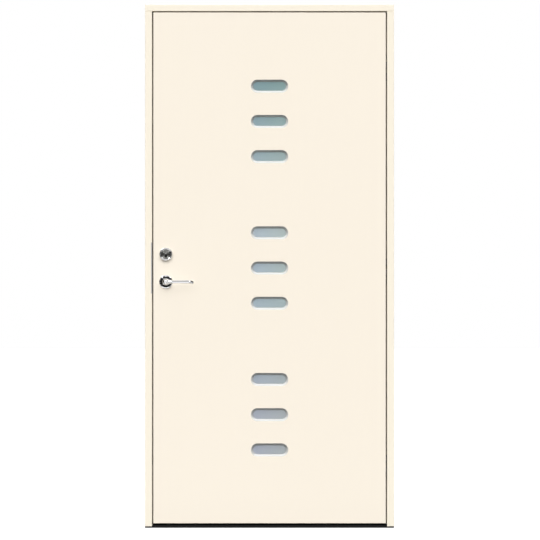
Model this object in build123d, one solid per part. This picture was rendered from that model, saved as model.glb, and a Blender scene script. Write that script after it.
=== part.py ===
"""Exterior door: a glazed leaf hung in a rebated frame, in millimetres, +Z up, outside facing -Y."""
import os
from math import atan, cos, degrees, radians, sin

from build123d import *

# Frame
frame_width = 990.0
frame_height = 2080.0
frame_depth = 105.0
jamb_face = 28.0
head_face = 26.5
stop_width = 14.0
arris = 2.0
fixing_radius = 7.0
fixing_end = 120.0
fixing_middle = 640.0

# Threshold
plate_thickness = 6.0
tread_front = 10.3
tread_back = 12.0
threshold_height = 29.5
flute_width = 2.0
flute_depth = 1.0
flute_pitch = 6.0
flute_count = 5

# Leaf
leaf_thickness = 62.0
leaf_gap = 5.0
leaf_bottom = 17.5
leaf_arris = 1.5
skin_thickness = 9.0
lock_stile_width = 110.0
hinge_stile_width = 80.0
top_rail_height = 80.0
bottom_rail_height = 120.0

# Windows: nine slots with round ends, in three groups of three
window_width = 134.0
window_height = 38.0
window_bevel = 7.0
window_pitch = 140.0
group_pitch = 583.0
glass_overlap = 12.0
glazing_depth = 6.0
pane_thickness = 4.0
spacer_width = 7.0

# Seals
seal_space = 7.0
seal_width = 9.0
seal_clearance = 0.5
seal_stem = 3.0
seal_stem_depth = 5.0

# Hinges
hinge_from_end = 232.5
hinge_inset = 16.0
hinge_depth = 11.0
pin_radius = 3.0
knuckle_radius = 5.0
arm_height = 30.0
arm_web = 14.0
arm_reach = 32.0
arm_thickness = 8.0
cup_wall = 1.7
hinge_plate_height = 130.0
hinge_plate_width = 26.0
hinge_plate_thickness = 3.0
fit = 0.2

# Lock and handles
backset = 50.0
spindle_height = 978.0
cylinder_rise = 110.0
forend_height = 235.0
forend_width = 22.0
forend_thickness = 3.0
case_depth = 84.0
case_height = 172.0
case_thickness = 18.0
bolt_spacing = 62.0
latch_size = (16.0, 30.0)
bolt_size = (14.0, 36.0)
strike_length = 203.0
strike_thickness = 3.0
strike_lip = 4.0
strike_back = 44.0
keep_depth = 18.0
rose_radius = 27.0
rose_height = 13.0
rose_rim = 4.5
neck_radius = 10.0
hub_radius = 12.0
neck_play = 0.3
lever_standoff = 46.0
lever_length = 109.0
lever_height = 13.0
lever_depth = 9.0
lever_taper = 25.0
lever_return = 50.0
lever_return_radius = 24.0
lever_droop = 20.0
spindle_side = 8.0
spindle_grip = 22.0
cylinder_radius = 15.0
cylinder_face_radius = 19.5
cylinder_face_height = 7.0
key_hole_radius = 5.0
key_hole_drop = 7.0
key_hole_depth = 5.0
turn_rose_height = 9.0
turn_stem = 8.0
turn_grip = (13.0, 40.0, 19.0)

# Derived positions
front = -frame_depth / 2
back = frame_depth / 2
outer_x = frame_width / 2
rebate_x = outer_x - jamb_face
stop_x = rebate_x - stop_width
head_z = frame_height - head_face
head_stop_z = head_z - stop_width
leaf_x = rebate_x - leaf_gap
leaf_top = head_z - leaf_gap
leaf_back = front + leaf_thickness
stop_y = leaf_back + seal_space
core_front = front + skin_thickness
core_back = leaf_back - skin_thickness
glass_front = core_front + glazing_depth
glass_back = core_back - glazing_depth
lock_y = (front + leaf_back) / 2
cylinder_height = spindle_height + cylinder_rise
lock_centre = spindle_height + cylinder_rise / 2
latch_height = lock_centre - bolt_spacing / 2
bolt_height = lock_centre + bolt_spacing / 2
leaf_centre = (leaf_bottom + leaf_top) / 2
lock_x = -leaf_x + backset
hinge_heights = {
    "upper": leaf_top - hinge_from_end,
    "middle": leaf_centre,
    "lower": leaf_bottom + hinge_from_end,
}
fixing_top = frame_height - 10
fixing_heights = (fixing_end, fixing_middle, fixing_top - fixing_middle, fixing_top - fixing_end)
axis_x = rebate_x + hinge_inset
axis_y = front + hinge_depth
window_groups = {"upper": group_pitch, "middle": 0.0, "lower": -group_pitch}

parts = {}


def block(x, y, z):
    """A box from three (low, high) pairs."""
    size = [high - low for low, high in (x, y, z)]
    centre = [(high + low) / 2 for low, high in (x, y, z)]
    return Pos(*centre) * Box(*size)


def along_y(sketch, x, z, y0, y1):
    """A sketch drawn in the elevation, run from y0 to y1."""
    return Pos(x, y1, z) * extrude(Plane.XZ * sketch, amount=y1 - y0)


def along_x(sketch, y, z, x0, x1):
    """A sketch drawn with its first axis on Y and its second on Z, run from x0 to x1."""
    return Pos(x0, y, z) * extrude(Plane.YZ * sketch, amount=x1 - x0)


def upright(points, z0, z1):
    """A plan outline run up from z0 to z1."""
    return Pos(0, 0, z0) * extrude(make_face(Polyline(*points, close=True)), amount=z1 - z0)


def turned(points, x, y, z, way):
    """A (radius, height) profile turned about a line along Y, rising toward way."""
    outline = make_face(Polyline(*[(r, way * h) for r, h in points], close=True))
    return Pos(x, y, z) * revolve(outline, Axis.Y)


def rod(x, z, radius, y0, y1):
    return along_y(Circle(radius), x, z, y0, y1)


def rounded(solid, direction, radius, **ranges):
    """Round the edges along a direction that lie at the given positions."""
    edges = solid.edges().filter_by(direction)
    for name, value in ranges.items():
        edges = edges.filter_by_position(Axis.X if name == "x" else Axis.Y if name == "y" else Axis.Z,
                                         value - 0.01, value + 0.01)
    return fillet(edges, radius)


def window_places():
    for group, offset in window_groups.items():
        for step in (1, 0, -1):
            yield group, leaf_centre + offset + step * window_pitch


def windows(sketch, y0, y1, group=None):
    """The sketch as a block at each window place, of one group or of all."""
    return [along_y(sketch, 0, z, y0, y1) for name, z in window_places() if group in (None, name)]


# Jambs: a rebate for the leaf at the front and a stop behind it
def jamb(side):
    outline = [
        (side * rebate_x, front),
        (side * outer_x, front),
        (side * outer_x, back),
        (side * stop_x, back),
        (side * stop_x, stop_y),
        (side * rebate_x, stop_y),
    ]
    body = upright(outline, plate_thickness, head_z)
    across = sorted((side * (stop_x - 1), side * (outer_x + 1)))
    body -= block(across, (stop_y, back + 1), (head_stop_z, head_z + 1))
    body = rounded(body, Axis.Z, arris, y=front)
    body = rounded(body, Axis.Z, arris, x=side * stop_x, y=back)
    groove = side * (stop_x + seal_width / 2)
    body -= block(
        (groove - seal_stem / 2, groove + seal_stem / 2),
        (stop_y, stop_y + seal_stem_depth),
        (tread_back, head_stop_z),
    )
    for z in fixing_heights:
        body -= along_x(Circle(fixing_radius), lock_y, z, *across)
    return body


def strike_blank():
    """The strike's L-shaped plate, with its lip turned onto the front of the jamb."""
    outline = [
        (-rebate_x, front),
        (-rebate_x, front + strike_back),
        (-rebate_x - strike_thickness, front + strike_back),
        (-rebate_x - strike_thickness, front + strike_thickness),
        (-rebate_x - strike_lip, front + strike_thickness),
        (-rebate_x - strike_lip, front),
    ]
    return upright(outline, lock_centre - strike_length / 2, lock_centre + strike_length / 2)


def keep(size, z, x0, x1):
    """The hole that a bolt of this size enters, with play around it."""
    return block(
        (x0, x1),
        (lock_y - size[0] / 2 - 2, lock_y + size[0] / 2 + 2),
        (z - size[1] / 2 - 2, z + size[1] / 2 + 2),
    )


keeps = (latch_size, latch_height), (bolt_size, bolt_height)
strike = strike_blank()
lock_jamb = jamb(-1) - strike_blank()
for size, z in keeps:
    strike -= keep(size, z, -rebate_x - 10, -rebate_x + 1)
    lock_jamb -= keep(size, z, -rebate_x - strike_thickness - keep_depth, -rebate_x)
parts["strike_plate"] = strike
parts["lock_jamb"] = lock_jamb

# Hinges: a cup in the jamb, a pin in the cup and a bent arm that reaches from the leaf round the jamb's edge
cell_height = arm_height + 1
cup_front = axis_y - knuckle_radius - 0.8 - cup_wall
cup_back = axis_y + arm_reach + 1.4 + cup_wall
cup_end = axis_x + knuckle_radius + 1.8 + cup_wall
cup_half = arm_web / 2 + cell_height + 9
cup_middle = (cup_front + cup_back) / 2
leaf_plate_y = axis_y + arm_reach - arm_thickness / 2


def cup_blank(z, play):
    flange = RectangleRounded(cup_back - cup_front + 2 * play, hinge_plate_height + 2 * play, 6)
    body = along_x(flange, cup_middle, z, rebate_x, rebate_x + hinge_plate_thickness)
    return body + block(
        (rebate_x, cup_end),
        (cup_front - play, cup_back + play),
        (z - cup_half - play, z + cup_half + play),
    )


def hinge_cup(z):
    body = cup_blank(z, 0)
    for low in (z + arm_web / 2, z - arm_web / 2 - cell_height):
        body -= block(
            (rebate_x - 1, cup_end - cup_wall),
            (cup_front + cup_wall, cup_back - cup_wall),
            (low, low + cell_height),
        )
    return body - Pos(axis_x, axis_y, z) * Cylinder(pin_radius + 0.05, 2 * cup_half + 2)


def leaf_plate(z, play):
    plate = RectangleRounded(hinge_plate_width + 2 * play, hinge_plate_height + 2 * play, 6)
    return along_x(plate, leaf_plate_y, z, leaf_x - hinge_plate_thickness, leaf_x)


def hinge_arm(z):
    body = leaf_plate(z, 0)
    leg_far = axis_x + knuckle_radius + 1
    leg_near = leg_far - arm_thickness + 0.5
    reach = axis_y + arm_reach
    outline = make_face(Polyline(
        (leaf_x - 1, reach), (leg_far, reach), (leg_far, axis_y), (leg_near, axis_y),
        (leg_near, reach - arm_thickness), (leaf_x - 1, reach - arm_thickness), close=True,
    ))
    for corner, radius in (((leg_far, reach), arm_thickness + 2), ((leg_near, reach - arm_thickness), 4)):
        outline = fillet(outline.vertices().sort_by_distance(corner)[0], radius)
    for low in (z + arm_web / 2 + 0.5, z - arm_web / 2 - 0.5 - arm_height):
        body += Pos(0, 0, low) * extrude(outline, amount=arm_height)
        body += Pos(axis_x, axis_y, low + arm_height / 2) * Cylinder(knuckle_radius, arm_height)
    return body - Pos(axis_x, axis_y, z) * Cylinder(pin_radius + 0.08, hinge_plate_height)


hinge_jamb = jamb(1)
hinge_stile = block((leaf_x - hinge_stile_width, leaf_x), (core_front, core_back), (leaf_bottom, leaf_top))
pins = []
for place, z in hinge_heights.items():
    hinge_jamb -= cup_blank(z, fit)
    hinge_stile -= leaf_plate(z, fit)
    parts[f"{place}_hinge_cup"] = hinge_cup(z)
    parts[f"{place}_hinge_arm"] = hinge_arm(z)
    pins.append(Pos(axis_x, axis_y, z) * Cylinder(pin_radius, 2 * cup_half))
parts["hinge_jamb"] = hinge_jamb
parts["hinge_stile"] = hinge_stile
parts["hinge_pins"] = Compound(children=pins)

# Head over both jambs
head_outline = Polyline(
    (front, head_z), (front, frame_height), (back, frame_height), (back, head_stop_z), (stop_y, head_stop_z),
    (stop_y, head_z), close=True,
)
head = along_x(make_face(head_outline), 0, 0, -outer_x, outer_x)
head = rounded(head, Axis.X, arris, y=front)
head_groove = head_stop_z + seal_width / 2
head -= block(
    (-stop_x - seal_width, stop_x + seal_width),
    (stop_y, stop_y + seal_stem_depth),
    (head_groove - seal_stem / 2, head_groove + seal_stem / 2),
)
parts["frame_head"] = head

# Threshold: plate under the jambs, tread under the leaf, stop behind it
tread_outline = Polyline(
    (front, 0), (front, tread_front), (stop_y, tread_back), (stop_y, 0), close=True
)
sill = block((-outer_x, outer_x), (front, back), (0, plate_thickness))
sill += along_x(make_face(tread_outline), 0, 0, -rebate_x, rebate_x)
for flute in range(flute_count):
    y = front + flute_pitch * (flute + 1)
    sill -= block((-rebate_x, rebate_x), (y, y + flute_width), (tread_front - flute_depth, tread_back + 1))
parts["threshold_sill"] = sill

threshold_outline = Polyline(
    (stop_y, plate_thickness), (stop_y, threshold_height), (stop_y + 14, threshold_height),
    (back, tread_back), (back, plate_thickness), close=True,
)
threshold = along_x(make_face(threshold_outline), 0, 0, -stop_x, stop_x)
threshold = rounded(threshold, Axis.X, 1.5, y=stop_y + 14, z=threshold_height)
sill_groove = threshold_height - seal_width / 2
threshold -= block(
    (-stop_x, stop_x),
    (stop_y, stop_y + seal_stem_depth),
    (sill_groove - seal_stem / 2, sill_groove + seal_stem / 2),
)
parts["threshold_stop"] = threshold

# Seals: a bulb toward the leaf on a stem in the stop's groove
half = seal_width / 2
bulb_height = seal_space - seal_clearance
shoulder = bulb_height - half
seal_outline = (
    Polyline((-half, shoulder), (-half, 0), (-seal_stem / 2, 0), (-seal_stem / 2, -seal_stem_depth),
             (seal_stem / 2, -seal_stem_depth), (seal_stem / 2, 0), (half, 0), (half, shoulder))
    + ThreePointArc((half, shoulder), (0, bulb_height), (-half, shoulder))
)
seal_face = make_face(seal_outline) - Pos(0, bulb_height / 2) * Circle(1.6)


def seal(place, run, length):
    """Run the seal's section from a place on the stop face, bulb toward the leaf."""
    plane = Plane(origin=place, x_dir=Vector(0, -1, 0).cross(Vector(run)), z_dir=run)
    return extrude(plane * seal_face, amount=length)


side_seal_length = head_stop_z - tread_back
parts["lock_side_seal"] = seal((-stop_x - half, stop_y, tread_back), (0, 0, 1), side_seal_length)
parts["hinge_side_seal"] = seal((stop_x + half, stop_y, tread_back), (0, 0, 1), side_seal_length)
parts["head_seal"] = seal((-stop_x - seal_width, stop_y, head_groove), (1, 0, 0), 2 * (stop_x + seal_width))
parts["threshold_seal"] = seal((-stop_x, stop_y, sill_groove), (1, 0, 0), 2 * stop_x)


# Leaf: two skins on a frame of stiles and rails
glass_width = window_width + 2 * glass_overlap
glass_height = window_height + 2 * glass_overlap


def skin():
    """The inside skin: glazing blocks behind it, splayed windows, holes for spindle and cylinder."""
    body = block((-leaf_x, leaf_x), (core_back, leaf_back), (leaf_bottom, leaf_top))
    body = fillet(body.faces().sort_by(Axis.Y)[-1].edges(), leaf_arris)
    for glazing in windows(Rectangle(glass_width, glass_height), glass_back, core_back):
        body += glazing
    depth = leaf_back - glass_back
    splay = degrees(atan(window_bevel / depth))
    mouth = SlotOverall(window_width + 2 * window_bevel, window_height + 2 * window_bevel)
    window = extrude(Plane.XZ * mouth, amount=depth, taper=splay)
    for group, z in window_places():
        body -= Pos(0, leaf_back, z) * window
    body -= rod(lock_x, spindle_height, neck_radius + 1, core_back - 1, leaf_back + 1)
    return body - rod(lock_x, cylinder_height, cylinder_radius + 1, core_back - 1, leaf_back + 1)


inner_skin = skin()
parts["inner_skin"] = inner_skin
parts["outer_skin"] = Pos(0, 2 * lock_y, 0) * mirror(inner_skin, Plane.XZ)

rail_x = (-leaf_x + lock_stile_width, leaf_x - hinge_stile_width)
parts["top_rail"] = block(rail_x, (core_front, core_back), (leaf_top - top_rail_height, leaf_top))
parts["bottom_rail"] = block(rail_x, (core_front, core_back), (leaf_bottom, leaf_bottom + bottom_rail_height))

core = block(
    rail_x, (core_front, core_back), (leaf_bottom + bottom_rail_height, leaf_top - top_rail_height)
)
pocket = Rectangle(glass_width + 2 * fit, glass_height + 2 * fit)
for hole in windows(pocket, core_front - 1, core_back + 1):
    core -= hole
parts["insulation_core"] = core

pane_front = glass_front + pane_thickness
pane_back = glass_back - pane_thickness
pane = Rectangle(glass_width, glass_height)
inset = 2 + 2 * spacer_width
spacer = Rectangle(glass_width - 2, glass_height - 2) - Rectangle(glass_width - inset, glass_height - inset)
for group in window_groups:
    parts[f"{group}_outer_panes"] = Compound(children=windows(pane, glass_front, pane_front, group))
    parts[f"{group}_spacers"] = Compound(children=windows(spacer, pane_front, pane_back, group))
    parts[f"{group}_inner_panes"] = Compound(children=windows(pane, pane_back, glass_back, group))


# Lock: forend and case in the lock stile, with the latch and the bolt drawn back level with the forend
def forend(play):
    plate = RectangleRounded(forend_width + 2 * play, forend_height + 2 * play, forend_width / 2 - 1)
    return along_x(plate, lock_y, lock_centre, -leaf_x, -leaf_x + forend_thickness)


def lock_body(play):
    x0 = -leaf_x + forend_thickness
    body = block(
        (x0, x0 + case_depth + play),
        (lock_y - case_thickness / 2 - play, lock_y + case_thickness / 2 + play),
        (lock_centre - case_height / 2 - play, lock_centre + case_height / 2 + play),
    )
    return body + forend(play)


def bolt(size, z, play):
    return block(
        (-leaf_x, -leaf_x + 30),
        (lock_y - size[0] / 2 - play, lock_y + size[0] / 2 + play),
        (z - size[1] / 2 - play, z + size[1] / 2 + play),
    )


spindle_hole = neck_radius + 1
lock_stile = block((-leaf_x, -leaf_x + lock_stile_width), (core_front, core_back), (leaf_bottom, leaf_top))
lock_stile -= lock_body(fit)
lock_stile -= rod(lock_x, spindle_height, spindle_hole, core_front, core_back)
lock_stile -= rod(lock_x, cylinder_height, cylinder_radius + 1, core_front, core_back)
parts["lock_stile"] = lock_stile

lock = lock_body(0)
lock -= rod(lock_x, spindle_height, spindle_side, core_front, core_back)
lock -= rod(lock_x, cylinder_height, cylinder_radius + 0.1, core_front, core_back)
lock -= bolt(latch_size, latch_height, 0.1)
lock -= bolt(bolt_size, bolt_height, 0.1)
parts["mortise_lock"] = lock
parts["latch_bolt"] = bolt(latch_size, latch_height, 0)
parts["dead_bolt"] = bolt(bolt_size, bolt_height, 0)

# Cylinder outside, thumbturn inside
ring_hole = cylinder_face_radius + fit
ring_radius = rose_radius - 0.5
ring_profile = [
    (ring_hole, 0), (ring_radius, 0), (ring_radius, 4), (ring_radius - 2, 8), (ring_radius - 4, 9.5),
    (ring_hole + 1, 9), (ring_hole, 8),
]
parts["cylinder_ring"] = turned(ring_profile, lock_x, front, cylinder_height, -1)

cylinder_front = front - cylinder_face_height
key_z = cylinder_height - key_hole_drop
cylinder = rod(lock_x, cylinder_height, cylinder_radius, front, leaf_back)
cylinder += rod(lock_x, cylinder_height, cylinder_face_radius, cylinder_front, front)
cylinder -= rod(lock_x, key_z, key_hole_radius, cylinder_front - 1, cylinder_front + key_hole_depth)
parts["lock_cylinder"] = cylinder - block(
    (lock_x - 1.2, lock_x + 1.2), (cylinder_front, front + 14), (key_z - 4, key_z + 4)
)

turn_profile = [
    (turn_stem + fit, 0), (ring_radius, 0), (ring_radius, 4), (ring_radius - 4, turn_rose_height - 1),
    (ring_radius - 7, turn_rose_height), (turn_stem + fit, turn_rose_height),
]
parts["thumbturn_rose"] = turned(turn_profile, lock_x, leaf_back, cylinder_height, 1)
turn_face = leaf_back + turn_rose_height
grip_width, grip_height, grip_depth = turn_grip
grip_outline = SlotOverall(grip_height, grip_width).rotate(Axis.Z, 90)
grip = along_y(grip_outline, lock_x, cylinder_height, turn_face + 1, turn_face + 1 + grip_depth)
grip = chamfer(grip.faces().sort_by(Axis.Y)[-1].edges(), 1.5)
parts["thumbturn"] = grip + rod(lock_x, cylinder_height, turn_stem, leaf_back, turn_face + 2)

# Levers on one square spindle, each through its bell-shaped rose
rose_profile = [
    (neck_radius + neck_play, 0), (rose_radius, 0), (rose_radius, rose_rim - 2),
    (rose_radius - 1.5, rose_rim - 0.5), (rose_radius - 3.5, rose_rim), (neck_radius + 4, rose_height),
    (neck_radius + neck_play, rose_height),
]
parts["outside_rose"] = turned(rose_profile, lock_x, front, spindle_height, -1)
parts["inside_rose"] = turned(rose_profile, lock_x, leaf_back, spindle_height, 1)


def lever():
    """A lever standing out toward -Y from a leaf face through the origin, its grip along +X."""
    out = -lever_standoff
    sweep = lever_return_radius * sin(radians(lever_return))
    straight = lever_length - sweep - lever_depth * cos(radians(lever_return)) / 4
    neck_profile = [
        (0, 3 - skin_thickness), (neck_radius, 3 - skin_thickness), (neck_radius, lever_standoff - 12),
        (hub_radius, lever_standoff - 9), (hub_radius, lever_standoff + 4),
        (hub_radius - 2, lever_standoff + 8), (hub_radius - 6, lever_standoff + 10.5),
        (0, lever_standoff + 10.5),
    ]
    neck = turned(neck_profile, 0, 0, 0, -1)
    taper = Pos(lever_taper / 2, out, 0) * Rot(0, 90, 0) * Cone(neck_radius, lever_depth / 2.2, lever_taper)
    grip = Ellipse(lever_depth / 2, lever_height / 2)
    bar = along_x(grip, out, 0, 0, straight)
    inward = Vector(0, cos(radians(lever_droop)), -sin(radians(lever_droop)))
    start = Vector(straight, out, 0)
    centre = start + inward * lever_return_radius
    axis = Axis(centre, Vector(1, 0, 0).cross(inward))
    section = Plane(origin=start, x_dir=(0, 1, 0), z_dir=(1, 0, 0)) * grip
    bend = revolve(section, axis, revolution_arc=lever_return)
    bend = fillet(bend.faces().sort_by(Axis.X)[-1].edges(), lever_depth / 4)
    half_side = spindle_side / 2
    socket = block((-half_side, half_side), (-spindle_grip, skin_thickness), (-half_side, half_side))
    return neck + taper + bar + bend - socket


outside = lever()
parts["outside_lever"] = Pos(lock_x, front, spindle_height) * outside
parts["inside_lever"] = Pos(lock_x, leaf_back, spindle_height) * mirror(outside, Plane.XZ)
half_side = spindle_side / 2
parts["spindle"] = block(
    (lock_x - half_side, lock_x + half_side),
    (front - spindle_grip, leaf_back + spindle_grip),
    (spindle_height - half_side, spindle_height + half_side),
)

os.makedirs("parts", exist_ok=True)
for name, shape in parts.items():
    shape.label = name
    export_step(shape, f"parts/{name}.step")
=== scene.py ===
import math

import bpy
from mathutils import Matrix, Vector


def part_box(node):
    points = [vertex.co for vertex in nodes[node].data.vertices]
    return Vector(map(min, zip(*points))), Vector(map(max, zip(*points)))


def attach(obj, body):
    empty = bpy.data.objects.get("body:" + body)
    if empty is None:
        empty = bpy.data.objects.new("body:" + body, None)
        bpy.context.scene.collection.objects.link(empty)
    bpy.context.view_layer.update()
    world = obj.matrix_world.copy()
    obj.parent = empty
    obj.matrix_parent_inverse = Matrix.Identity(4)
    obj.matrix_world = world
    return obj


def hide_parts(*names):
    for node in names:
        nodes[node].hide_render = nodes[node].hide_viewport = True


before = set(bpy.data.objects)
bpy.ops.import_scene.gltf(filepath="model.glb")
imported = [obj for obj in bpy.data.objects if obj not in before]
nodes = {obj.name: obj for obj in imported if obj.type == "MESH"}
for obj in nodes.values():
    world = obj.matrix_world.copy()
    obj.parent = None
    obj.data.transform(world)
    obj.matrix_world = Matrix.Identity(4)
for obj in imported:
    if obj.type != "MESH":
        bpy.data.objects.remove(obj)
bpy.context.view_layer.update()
mm = 0.001
rightAngle = math.pi / 2
white = (1, 1, 1)
black = (0, 0, 0)
print("frame loaded:", len(nodes), "nodes")


# Shader maths: sockets that add, multiply and so on as plain values

class Value:
    def __init__(self, finish, socket):
        self.finish = finish
        self.socket = socket

    def maths(self, operation, first, second):
        return self.finish.node("ShaderNodeMath", {"operation": operation}, {0: first, 1: second})

    def __add__(self, other):
        return self.maths("ADD", self, other)

    def __radd__(self, other):
        return self.maths("ADD", other, self)

    def __sub__(self, other):
        return self.maths("SUBTRACT", self, other)

    def __rsub__(self, other):
        return self.maths("SUBTRACT", other, self)

    def __mul__(self, other):
        return self.maths("MULTIPLY", self, other)

    def __rmul__(self, other):
        return self.maths("MULTIPLY", other, self)

    def atMost(self, other):
        return self.maths("MINIMUM", self, other)

    def atLeast(self, other):
        return self.maths("MAXIMUM", self, other)


class Finish:  # a node tree, filled node by node
    def __init__(self, tree):
        self.tree = tree

    def feed(self, spot, item):  # a link, or a plain value
        if isinstance(item, Value):
            self.tree.links.new(item.socket, spot)
        else:
            spot.default_value = item

    def node(self, kind, settings=None, sockets=None, out=0):  # settings first, then values or links
        made = self.tree.nodes.new(kind)
        for key, setting in (settings or {}).items():
            if key == "stops":
                self.setStops(made.color_ramp, setting)
            else:
                setattr(made, key, setting)
        for key, item in (sockets or {}).items():
            self.feed(made.inputs[key], item)
        if isinstance(out, tuple):  # several outputs of one node
            return [Value(self, made.outputs[key]) for key in out]
        return Value(self, made.outputs[out]) if made.outputs else None

    def setStops(self, ramp, stops):
        while len(ramp.elements) < len(stops):
            ramp.elements.new(0.5)
        for element, (position, colour) in zip(ramp.elements, stops):
            element.position = position
            element.color = (*colour, 1)

    def place(self):
        return self.node("ShaderNodeTexCoord", out="Object")

    def noise(self, scale, detail=2.0, roughness=0.5):  # one scale, or three that draw the grain out
        vector = self.place()
        if isinstance(scale, tuple):
            vector = self.node("ShaderNodeMapping", {}, {"Vector": vector, "Scale": scale})
            scale = 1.0
        sockets = {"Vector": vector, "Scale": scale, "Detail": detail, "Roughness": roughness}
        return self.node("ShaderNodeTexNoise", {}, sockets, "Fac")

    def ramp(self, factor, stops):
        return self.node("ShaderNodeValToRGB", {"stops": stops}, {"Fac": factor}, "Color")

    def between(self, factor, first, second, way="MIX"):
        settings = {"data_type": "RGBA", "blend_type": way}
        return self.node("ShaderNodeMix", settings, {0: factor, 6: tinted(first), 7: tinted(second)}, 2)

    def relief(self, height, strength, depth):
        return self.node("ShaderNodeBump", {}, {"Strength": strength, "Distance": depth, "Height": height})


def tinted(colour):  # a plain colour gets its alpha
    return colour if isinstance(colour, Value) else (*colour, 1)


def newFinish(name, **look):  # a material, with the values that are the same all over it
    material = bpy.data.materials.new(name)
    material.use_nodes = True
    finish = Finish(material.node_tree)
    finish.material = material
    finish.shader = material.node_tree.nodes["Principled BSDF"]
    dress(finish, **look)
    return finish


def dress(finish, **looks):  # Base_Color is the socket Base Color, and so on
    for key, item in looks.items():
        finish.feed(finish.shader.inputs[key.replace("_", " ")], item)
    return finish.material


# A grain is given as scale, detail and roughness, and a relief as strength and depth.
# What ends in Matte or Metal is what that grain adds to the roughness or to the metallic value.

paintLook = {
    "leaf": ((0.925, 0.850, 0.735), (0.905, 0.828, 0.708)),
    "frame": ((0.925, 0.858, 0.728), (0.905, 0.836, 0.700)),
    "leafRun": (140, 140, 6), "jambRun": (220, 220, 5), "headRun": (5, 220, 220), "runDetail": (4, 0.6),
    "cloud": (2.2, 3), "peel": (520, 1.5), "dust": (60, 4, 0.7),
    "cloudShare": 0.55, "peelShare": 0.7,  # of the tint and of the relief, the run has the rest
    "relief": (0.10, 0.3 * mm),
    "roughness": 0.36, "cloudMatte": 0.05, "dustMatte": 0.06,
    "specular": 0.45, "coat": 0.08, "coatRoughness": 0.25,
}


def paint(name, tints, stretch):  # sprayed satin paint, with the faint run of the board beneath
    look = paintLook
    finish = newFinish(name, Specular_IOR_Level=look["specular"], Coat_Weight=look["coat"],
                       Coat_Roughness=look["coatRoughness"])
    cloud = finish.noise(*look["cloud"])
    run = finish.noise(stretch, *look["runDetail"])
    peel = finish.noise(*look["peel"])
    dust = finish.noise(*look["dust"])
    skin = peel * look["peelShare"] + run * (1 - look["peelShare"])
    return dress(
        finish,
        Base_Color=finish.between(cloud * look["cloudShare"] + run * (1 - look["cloudShare"]), *tints),
        Roughness=look["roughness"] + cloud * look["cloudMatte"] + dust * look["dustMatte"],
        Normal=finish.relief(skin, *look["relief"]),
    )


leafPaint = paint("leafPaint", paintLook["leaf"], paintLook["leafRun"])
jambPaint = paint("jambPaint", paintLook["frame"], paintLook["jambRun"])
headPaint = paint("headPaint", paintLook["frame"], paintLook["headRun"])


aluminiumLook = {
    "dark": (0.007, 0.007, 0.0075), "light": (0.018, 0.018, 0.0185), "scuff": (0.09, 0.09, 0.09),
    "lines": ((2, 900, 900), 3, 0.65), "relief": (0.12, 0.2 * mm),
    "scuffs": ((9, 120, 40), 6, 0.7), "scuffFrom": 0.66, "scuffEdge": 9, "scuffMost": 0.5,
    "roughness": 0.34, "lineMatte": 0.14, "scuffMatte": 0.2,
    "metallic": 0.15, "scuffMetal": 0.3, "specular": 0.25,
}


def anodised():  # black extrusion, with its draw lines along the sill and a few foot scuffs
    look = aluminiumLook
    finish = newFinish("blackAluminium", Specular_IOR_Level=look["specular"])
    lines = finish.noise(*look["lines"])
    scuffs = finish.noise(*look["scuffs"])
    worn = ((scuffs - look["scuffFrom"]) * look["scuffEdge"]).atLeast(0).atMost(look["scuffMost"])
    drawn = finish.between(lines, look["dark"], look["light"])
    return dress(
        finish,
        Base_Color=finish.between(worn, drawn, look["scuff"]),
        Roughness=look["roughness"] + lines * look["lineMatte"] + worn * look["scuffMatte"],
        Metallic=look["metallic"] + worn * look["scuffMetal"],
        Normal=finish.relief(lines, *look["relief"]),
    )


blackAluminium = anodised()


rubberLook = {
    "dark": (0.018, 0.017, 0.016), "dusty": (0.055, 0.052, 0.048),
    "bloom": (45, 4, 0.7), "grit": (1600, 2), "relief": (0.15, 0.2 * mm),
    "roughness": 0.62, "bloomMatte": 0.2, "specular": 0.3,
}


def rubber():  # moulded seal, dusty along its skin
    look = rubberLook
    finish = newFinish("sealRubber", Specular_IOR_Level=look["specular"])
    bloom = finish.noise(*look["bloom"])
    grit = finish.noise(*look["grit"])
    return dress(
        finish,
        Base_Color=finish.between(bloom, look["dark"], look["dusty"]),
        Roughness=look["roughness"] + bloom * look["bloomMatte"],
        Normal=finish.relief(grit, *look["relief"]),
    )


sealRubber = rubber()


glassLook = {
    # painted reflection: these tints, climbing with height and shifting from side to side, stand in for
    # what the panes reflect
    "climb": (  # tints from the low lights to the top ones
        (0.22, (0.61, 0.61, 0.655)), (0.45, (0.585, 0.64, 0.675)),
        (0.60, (0.65, 0.685, 0.705)), (0.89, (0.395, 0.512, 0.53)),
    ),
    "climbPerMetre": 0.5, "climbDrift": 0.10,
    "leftCast": (0.94, 1.0, 1.06), "rightCast": (0.97, 1.03, 0.97),
    "castPerMetre": 6, "castDrift": 0.8,
    "drift": ((5, 5, 9), 2), "etch": (2400, 3, 0.7), "relief": (0.05, 0.1 * mm),
    "glow": 0.19,  # painted light: the pane glows in its tint, standing in for daylight through it
    "depth": 0.45,  # how much darker the pane's own colour is than its painted glow
    "roughness": 0.34, "etchMatte": 0.18, "specular": 0.5, "coat": 0.35, "coatRoughness": 0.12,
    "ior": 1.45, "transmission": 0.75,
}


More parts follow.
